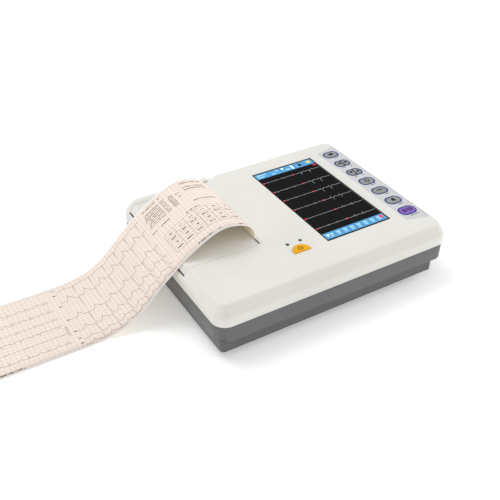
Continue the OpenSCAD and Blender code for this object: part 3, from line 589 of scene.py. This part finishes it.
def key_outline(name, grow):
    """The outline of a key, or of one half of a split key, larger all round by grow."""
    a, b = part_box(name)
    y = (a.y + b.y) / 2 / MM
    d = (b.y - a.y) / MM - 2 * FLANGE
    if "back_" in name or "forward_" in name:
        w = 2 * (max(abs(a.x / MM - KEY_X), abs(b.x / MM - KEY_X)) - FLANGE)
        points = half_key(1 if "forward_" in name else -1, w, d, grow)
        return [(KEY_X + px, y + py) for px, py in points]
    w = (b.x - a.x) / MM - 2 * FLANGE
    return oval(KEY_X, y, w + 2 * grow, d + 2 * grow, d / 2 - CORNER + grow)


# round each key: a dark rim of painted shadow, a blue outline and a pale halo, between these distances from
# its cap
RINGS = (0.3, 0.8, 1.95, 2.5)
# strokes in place of the label under each key: from and to, measured from the column's middle
LABELS = {"key_back_1": (-7.5, -2.2), "key_forward_1": (4.2, 8.0), "key_back_2": (-7.3, -1.0),
          "key_forward_2": (4.2, 8.0), "key_square": (-1.5, 4.5), "key_ring": (-4.5, -3.2, -1.4, 6.6),
          "key_pulse": (0.5, 5.5), "key_bell": (-1.2, 6.4), "key_start": (-3.0, 8.4)}
LABEL_DROP = 1.9
LABEL_FOOT = 0.75
LABEL_GAP = 0.3
painted_shadow_rims, outlines, halos, marks = [], [], [], []
for name in KEY_NODES + ["key_start"]:
    rings = [key_outline(name, grow) for grow in RINGS]
    # painted shadow: a dark band just round the cap
    painted_shadow_rims += band(rings[0], rings[1])
    outlines += band(rings[1], rings[2])
    halos += band(rings[2], rings[3])
    places = LABELS[name]
    side = min(py for px, py in rings[2]) - LABEL_DROP
    for a, b in zip(places[::2], places[1::2]):
        u = a
        while u < b:
            step = random.uniform(0.55, 1.0)
            tall = random.choice((0.5, 0.75))
            marks.append(rect(KEY_X + u, KEY_X + min(u + step, b), side - LABEL_FOOT, side + tall))
            u += step + LABEL_GAP
panel_top = top_of("key_panel")
PANEL_LIFT = 0.04
HALO_LIFT = 0.03
flat_piece("key_outlines", outlines, OUTLINE, "case", panel_top + PANEL_LIFT)
# the dark rims are painted shadow round each key's cap, in the symbols' black
flat_piece("key_painted_shadow_rims", painted_shadow_rims, SYMBOL, "case", panel_top + PANEL_LIFT)
flat_piece("key_halos", halos, HALO, "case", panel_top + HALO_LIFT)
flat_piece("key_marks", marks, MARK, "case", panel_top + PANEL_LIFT)


def symbol(name, shapes):
    """A key's printed symbol, just over the middle of its domed cap."""
    flat_piece(name + "_symbol", shapes, SYMBOL, name, top_of(name) + 0.05)


x, y = middle("key_square")
symbol("key_square", [rect(x - 3.1, x + 3.1, y - 2.3, y + 2.3)])

HALF_X = 4.9  # from the column's middle to the symbol of a half key
x, y = KEY_X - HALF_X, middle("key_back_1")[1]
symbol("key_back_1", [[(x + 2.0, y + 3.1), (x - 2.3, y), (x + 2.0, y - 3.1)]])
x = KEY_X + HALF_X
symbol("key_forward_1", [[(x - 2.0, y - 3.1), (x + 2.3, y), (x - 2.0, y + 3.1)]])
x, y = KEY_X - HALF_X, middle("key_back_2")[1]
symbol("key_back_2", [[(x - 2.6, y + 2.4), (x, y - 2.9), (x + 2.6, y + 2.4)]])
x = KEY_X + HALF_X
symbol("key_forward_2", [[(x - 2.6, y - 2.4), (x + 2.6, y - 2.4), (x, y + 2.9)]])

x, y = middle("key_ring")
symbol("key_ring", ring(x, y, 2.1, 3.5))
x, y = middle("key_pulse")
symbol("key_pulse", line([(x - 5.6, y), (x - 2.2, y), (x - 1.2, y + 1.8), (x, y - 2.2), (x + 1.3, y + 2.8),
                          (x + 2.3, y), (x + 5.6, y)], 1.2))
x, y = middle("key_bell")
symbol("key_bell", [[(x - 3.6, y - 1.8), (x + 3.6, y - 1.8), (x + 2.5, y - 0.5), (x + 2.0, y + 1.9),
                     (x + 0.8, y + 3.3), (x - 0.8, y + 3.3), (x - 2.0, y + 1.9), (x - 2.5, y - 0.5)],
                    rect(x - 1.1, x + 1.1, y - 3.2, y - 2.2)])
x, y = middle("key_start")
symbol("key_start", ring(x - 3.9, y, 1.7, 3.1) + [rect(x - 4.6, x - 3.4, y - 1.2, y + 1.4)]
       + line([(x + 0.9, y - 2.1), (x + 0.9, y + 2.1), (x + 6.2, y + 2.1), (x + 6.2, y - 2.1),
               (x + 0.9, y - 2.1)], 1.1)
       + line([(x + 1.7, y - 0.2), (x + 2.9, y - 0.2), (x + 3.5, y + 1.1), (x + 4.1, y - 1.2),
               (x + 5.4, y - 0.2)], 0.8))

low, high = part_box("power_button")
x = (low.x + high.x) / 2 / MM
y = low.y / MM + 6.6
flat_piece("power_symbol", ring(x, y, 2.2, 3.1, 128, 284, 26) + [rect(x - 0.45, x + 0.45, y + 0.2, y + 3.7)],
           SYMBOL, "power_key", high.z / MM + 0.04)


# ------------------------------------------------------------------ chart paper

def centre(node):
    """X and Z of the axis of a node that turns about Y."""
    a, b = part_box(node)
    return (a.x + b.x) / 2 / MM, (a.z + b.z) / 2 / MM


PX, PZ = centre("platen_roller")
RX, RZ = centre("paper_roll")
PAPER_Y0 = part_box("chart_paper")[0].y / MM
PAPER_Y1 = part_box("chart_paper")[1].y / MM
THICK = 0.12  # of the paper as drawn
# X and Z of the strip's middle line: up from the nip, over in an arch, and down to lie on the table
STRIP = [(-55.9, PZ), (-55.85, 61), (-55.6, 66), (-55.4, 71), (-56.9, 77.5), (-62, 84),
         (-72.5, 89.5), (-87, 92.5), (-100, 91), (-113, 85.5), (-127, 77.5), (-141, 67.8), (-156, 55),
         (-170, 42.5), (-182, 30), (-194, 19), (-208, 10), (-225, 4), (-245, 1), (-270, 0.2),
         (-300, 0.15), (-375, 0.15)]


def between(p, i, t):
    """A point on the smooth curve through points p, at t from point i to the next one."""
    a, b, c, d = p[max(i - 1, 0)], p[i], p[i + 1], p[min(i + 2, len(p) - 1)]

    def along(o, q, r, s):
        slope = (r - o) * t
        bend = (2 * o - 5 * q + 4 * r - s) * t * t
        twist = (3 * q - o - 3 * r + s) * t ** 3
        return 0.5 * (2 * q + slope + bend + twist)
    return tuple(along(*places) for places in zip(a, b, c, d))


class Course:
    """A line in X and Z, read by its length."""

    def __init__(self, points):
        self.points = [Vector(p) for p in points]
        self.at = [0.0]
        for a, b in zip(self.points, self.points[1:]):
            self.at.append(self.at[-1] + (b - a).length)
        self.length = self.at[-1]

    def __call__(self, u, lift=0.0):
        """The point at length u, moved out to the printed side by lift."""
        u = min(max(u, 0.0), self.length)
        lo, hi = 0, len(self.at) - 2
        while lo < hi:
            mid = (lo + hi + 1) // 2
            if self.at[mid] <= u:
                lo = mid
            else:
                hi = mid - 1
        span = self.at[lo + 1] - self.at[lo]
        t = (u - self.at[lo]) / span
        p = self.points[lo].lerp(self.points[lo + 1], t)
        if not lift:
            return p

        def side(i):
            d = self.points[min(i + 1, len(self.points) - 1)] - self.points[max(i - 1, 0)]
            d.normalize()
            return Vector((d.y, -d.x))
        return p + side(lo).lerp(side(lo + 1), t).normalized() * lift


CURVE_STEPS = 16  # between two points of the strip
outer = Course([between(STRIP, i, k / CURVE_STEPS) for i in range(len(STRIP) - 1)
                for k in range(CURVE_STEPS)] + [STRIP[-1]])

# inside, the paper leaves the roll straight and then turns round the platen to the nip
ROLL_R = 22.2  # radius of the paper's middle line where it leaves the roll
NIP_R = 6.2    # and where it turns round the platen
TURN_STEPS = 14
RUN_STEPS = 12
LEAD = math.radians(38.6)  # from the line between the two axes to the straight stretch
first = math.atan2(PZ - RZ, PX - RX) - LEAD
start = (RX - ROLL_R * math.sin(first), RZ + ROLL_R * math.cos(first))
turns = [first + (math.radians(90) - first) * i / TURN_STEPS for i in range(TURN_STEPS + 1)]
arc = [(PX + NIP_R * math.sin(a), PZ - NIP_R * math.cos(a)) for a in turns]
ends = Vector(arc[0]) - Vector(start)
inner = Course([tuple(Vector(start) + ends * i / RUN_STEPS) for i in range(RUN_STEPS)] + arc)


def sheet_piece(name, course, stations, across, material, back):
    """The paper as a thin closed strip, with its length and width in the UV map."""
    width = PAPER_Y1 - PAPER_Y0
    bm = bmesh.new()
    uv = bm.loops.layers.uv.new("paper")
    rows = {}
    for side, lift in ((1, THICK / 2), (0, -THICK / 2)):
        for i, u in enumerate(stations):
            for j in range(across + 1):
                v = width * j / across
                p = course(u, lift)
                rows[side, i, j] = bm.verts.new((p.x * MM, (PAPER_Y0 + v) * MM, p.y * MM))
    n = len(stations) - 1
    where = {vert: (stations[key[1]] * MM, width * key[2] / across * MM) for key, vert in rows.items()}

    def face(keys, slot, smooth=False):
        f = bm.faces.new([rows[k] for k in keys])
        f.material_index = slot
        f.smooth = smooth
        for loop in f.loops:
            loop[uv].uv = where[loop.vert]

    for i in range(n):
        for j in range(across):
            face([(1, i, j), (1, i, j + 1), (1, i + 1, j + 1), (1, i + 1, j)], 0, smooth=True)
            face([(0, i, j), (0, i + 1, j), (0, i + 1, j + 1), (0, i, j + 1)], 1, smooth=True)
        face([(1, i, 0), (1, i + 1, 0), (0, i + 1, 0), (0, i, 0)], 1)
        face([(1, i, across), (0, i, across), (0, i + 1, across), (1, i + 1, across)], 1)
    for j in range(across):
        face([(1, 0, j), (0, 0, j), (0, 0, j + 1), (1, 0, j + 1)], 1)
        face([(1, n, j), (1, n, j + 1), (0, n, j + 1), (0, n, j)], 1)
    bmesh.ops.recalc_face_normals(bm, faces=bm.faces)
    obj = add_mesh(name, bm, material, back)
    return obj


def steps(a, b, size):
    """Even steps from a to b, none longer than size."""
    n = max(1, math.ceil((b - a) / size))
    return [a + (b - a) * i / n for i in range(n + 1)]


# shorter steps where the strip bends more
stations = steps(0, 100, 0.8)[:-1] + steps(100, 260, 1.6)[:-1] + steps(260, outer.length, 4)
paper = sheet_piece("paper_strip", outer, stations, across=10, material=PAPER, back=PAPER_BACK)
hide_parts("chart_paper")
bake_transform(paper)
run = sheet_piece("paper_run", inner, steps(0, inner.length, 0.9), across=6, material=PAPER_BACK,
                  back=PAPER)
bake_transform(run)

# printing on the strip: u in mm from the nip, v in mm from the back edge
prints = []
words = []
PRINT_STEP = 1.2  # print is cut this short along the strip, to follow its bends


def ink_line(points, width):
    """A line of ink through points (u, v)."""
    dense = []
    for a, b in zip(points, points[1:]):
        n = max(1, int(abs(b[0] - a[0]) / PRINT_STEP) + 1)
        dense += [(a[0] + (b[0] - a[0]) * i / n, a[1] + (b[1] - a[1]) * i / n) for i in range(n)]
    dense.append(points[-1])
    prints.extend(line(dense, width))


def ink_words(u0, u1, v, height=1.5):
    """A row of short strokes that stands for print, without being letters."""
    u = u0
    while u < u1:
        w = min(random.uniform(0.6, 1.1), u1 - u)
        low_side = v - height * random.choice((0.5, 0.5, 0.35))
        high_side = v + height * random.choice((0.5, 0.5, 0.35))
        us = steps(u, u + w, PRINT_STEP)
        words.extend(rect(a, b, low_side, high_side) for a, b in zip(us, us[1:]))
        u += w + (1.5 if random.random() < 0.14 else 0.25)


def header_rows():
    """The head of the print: short lines nearest the nip, then a block of small print."""
    for v in (7.6, 16.6, 21.3):
        ink_words(37.5, 65, v)
    for a, b in ((37.5, 65.5), (99.5, 112), (118, 127)):
        ink_words(a, b, 45.4)
    for i in range(8):
        v = 14.4 + 3.15 * i
        ink_words(98.5, 119 + (i * 5 % 4) * 1.3, v, 1.15)
        ink_words(90.5, 96, v, 1.15)
        if i > 0:
            ink_words(80, 86.5, v, 1.4)
        if i in (2, 4):
            ink_words(72.5, 76.5, v, 1.4)
    ink_words(99, 119, 7.6)
    ink_words(93, 95.6, 7.6)
    ink_words(65.5, 82, 56.6, 1.7)


def value_table():
    """A ruled table of six columns, with a short name and a longer value in turn in each."""
    left, right, top, bottom = 30, 117.5, 60, 93.6
    for u in (left, 44.6, 59.2, 73.8, 88.6, 103.3, right):
        ink_line([(u, top), (u, bottom)], 0.3)
    for v in (top, bottom):
        ink_line([(left, v), (right, v)], 0.3)
    for v in (69.2, 77.2, 85.3):
        ink_line([(44.6, v), (right, v)], 0.2)
    for u in (33.5, 48, 62.6, 77.5, 92, 106.4):
        for j, v in enumerate((65, 73, 81.2, 89.2)):
            short = j % 2 == 0
            ink_words(u + (1.5 if short else 0), u + (5.5 if short else 8), v, 1.7)


def foot_words():
    """Words along the front edge, beside the head."""
    for a, b in ((76, 95), (66, 68), (37, 43)):
        ink_words(a, b, 105.4, 1.6)


BEAT_PERIOD = 20.3
FIRST_BEAT = -0.6
TRACE_WIDTH = 0.36


def ecg_rows(u0, u1, rows):
    """Traces from u0 to u1: each row is a base line and one beat, as (place, height) pairs."""
    for base, beat in rows:
        points = [(u0, base)]
        u = u0 + FIRST_BEAT
        while u + beat[-1][0] < u1:
            points += [(u + du, base - dv) for du, dv in beat]
            u += BEAT_PERIOD
        points.append((u1, base))
        ink_line(points, TRACE_WIDTH)


def chest(rise, fall, wave):
    """A beat of a chest lead: a rise, a deep downward spike and a slow wave."""
    return [(0, 0), (2.2, 0.3), (4.4, 0.0), (5.5, rise), (6.1, -fall), (6.8, 0.2), (11.0, 0.6),
            (15.0, wave * 0.75), (17.0, wave), (19.3, 0.2)]


def limb(spike, wave, dip=0.8):
    """A beat of a limb lead: a small spike, a dip and a slow wave."""
    return [(0, 0), (2.0, 0.7), (3.4, 0.0), (4.6, -0.4), (5.3, spike), (5.9, -dip), (6.6, 0.0),
            (11.0, 0.3), (13.8, wave), (16.6, 0.0), (20.0, 0.0)]


header_rows()
value_table()
foot_words()
ecg_rows(128, 256, [
    (10.9, chest(1.0, 13.5, 2.9)), (31.4, chest(2.8, 24.0, 9.2)), (61.4, chest(2.0, 17.5, 7.4)),
    (82.4, chest(9.0, 9.5, 6.0)), (97.4, chest(9.0, 4.0, 4.0)), (106.4, chest(7.0, 1.4, 4.4))])
# the names of the leads, between the two sets of traces
for v in (6.8, 15.2, 36.2, 60.8, 81.4, 93.2, 101.6):
    ink_words(257.2, 260.2, v, 1.8)
ecg_rows(268, 372, [
    (22.6, limb(4.2, 2.2)), (38.6, limb(6.0, 2.4)), (53.2, limb(3.2, 0.6)), (65.6, limb(-4.0, -2.2, -0.4)),
    (80.2, limb(0.8, 0.5)), (95.4, limb(4.4, 2.6))])
# the calibration pulse, and a footer along the front edge
ink_line([(263, 83.6), (264.6, 83.6), (264.6, 69.8), (266.6, 69.8), (266.6, 83.6), (268, 83.6)], 0.35)
ink_words(322, 348, 106.2, 1.9)


def print_piece(name, shapes, material, lift):
    """Print on the strip, lift mm over its middle line."""
    bm = bmesh.new()
    for shape in shapes:
        corners = []
        for u, v in shape:
            p = outer(u, lift)
            corners.append(bm.verts.new((p.x * MM, (PAPER_Y1 - v) * MM, p.y * MM)))
        bm.faces.new(corners)
    bmesh.ops.dissolve_degenerate(bm, dist=1e-7, edges=bm.edges)
    obj = add_mesh(name, bm, material)
    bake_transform(obj)
    return obj


traces = print_piece("paper_print", prints, INK, 0.11)
wording = print_piece("paper_words", words, WORD_INK, 0.12)


# ------------------------------------------------------------------ stage

FLOOR_HALF = 60  # metres each way from the middle
FLOOR_Z = -0.0002  # metres: just under the feet
floor = bpy.data.meshes.new("floor")
floor.from_pydata([(x, y, FLOOR_Z) for x, y in rect(-FLOOR_HALF, FLOOR_HALF, -FLOOR_HALF, FLOOR_HALF)],
                  [], [(0, 1, 2, 3)])
floor_obj = bpy.data.objects.new("floor", floor)
bpy.context.scene.collection.objects.link(floor_obj)
floor_white = moulded("floor_white", (0.93, 0.93, 0.93, 1), rough=0.8, grain=900, strength=0.02, vary=0.003)
# a faint glow keeps the floor near white under the object, as in the photograph
floor_shader = floor_white.node_tree.nodes["Principled BSDF"]
floor_shader.inputs["Emission Color"].default_value = (1, 1, 1, 1)
floor_shader.inputs["Emission Strength"].default_value = 0.28
floor.materials.append(floor_white)

world = bpy.data.worlds.new("studio")
bpy.context.scene.world = world
world.use_nodes = True
background = world.node_tree.nodes["Background"]
background.inputs["Color"].default_value = (1, 1, 1, 1)
background.inputs["Strength"].default_value = 0.66


def area_light(name, place, aim, size, power):
    """A square light at place that shines towards aim, in metres and watts."""
    data = bpy.data.lights.new(name, "AREA")
    data.shape = "SQUARE"
    data.size = size
    data.energy = power
    obj = bpy.data.objects.new(name, data)
    bpy.context.scene.collection.objects.link(obj)
    obj.location = place
    obj.rotation_euler = (Vector(aim) - Vector(place)).to_track_quat("-Z", "Y").to_euler()


area_light("key_light", (-0.5, 0.9, 1.7), (0, 0, 0), size=1.2, power=16)
area_light("fill_light", (-1.0, -1.3, 1.0), (0, 0, 0), size=1.6, power=0.6)
area_light("side_light", (1.5, -0.35, 0.55), (-0.1, 0.02, 0.05), size=0.9, power=7)

# the default transform can't reach the photograph's amber, and greys its white ground
bpy.context.scene.view_settings.view_transform = "Standard"

# place, in metres, and directions that were fitted to the case's corners in the photograph
CAMERA_PLACE = Vector((-0.41735, -0.5889, 0.54975))
camera = bpy.data.cameras.new("camera")
camera.sensor_width = 36
camera.lens = 54.47
camera.shift_x = 0.048
camera.clip_start = 0.01
camera_obj = bpy.data.objects.new("camera", camera)
bpy.context.scene.collection.objects.link(camera_obj)
forward = Vector((0.4029, 0.6917, -0.5994)).normalized()
right = Vector((0.8649, -0.5019, 0.002))
right = (right - forward * right.dot(forward)).normalized()
up = right.cross(forward)
turn = Matrix((right, up, -forward)).transposed()
camera_obj.matrix_world = Matrix.Translation(CAMERA_PLACE) @ turn.to_4x4()
bpy.context.scene.camera = camera_obj
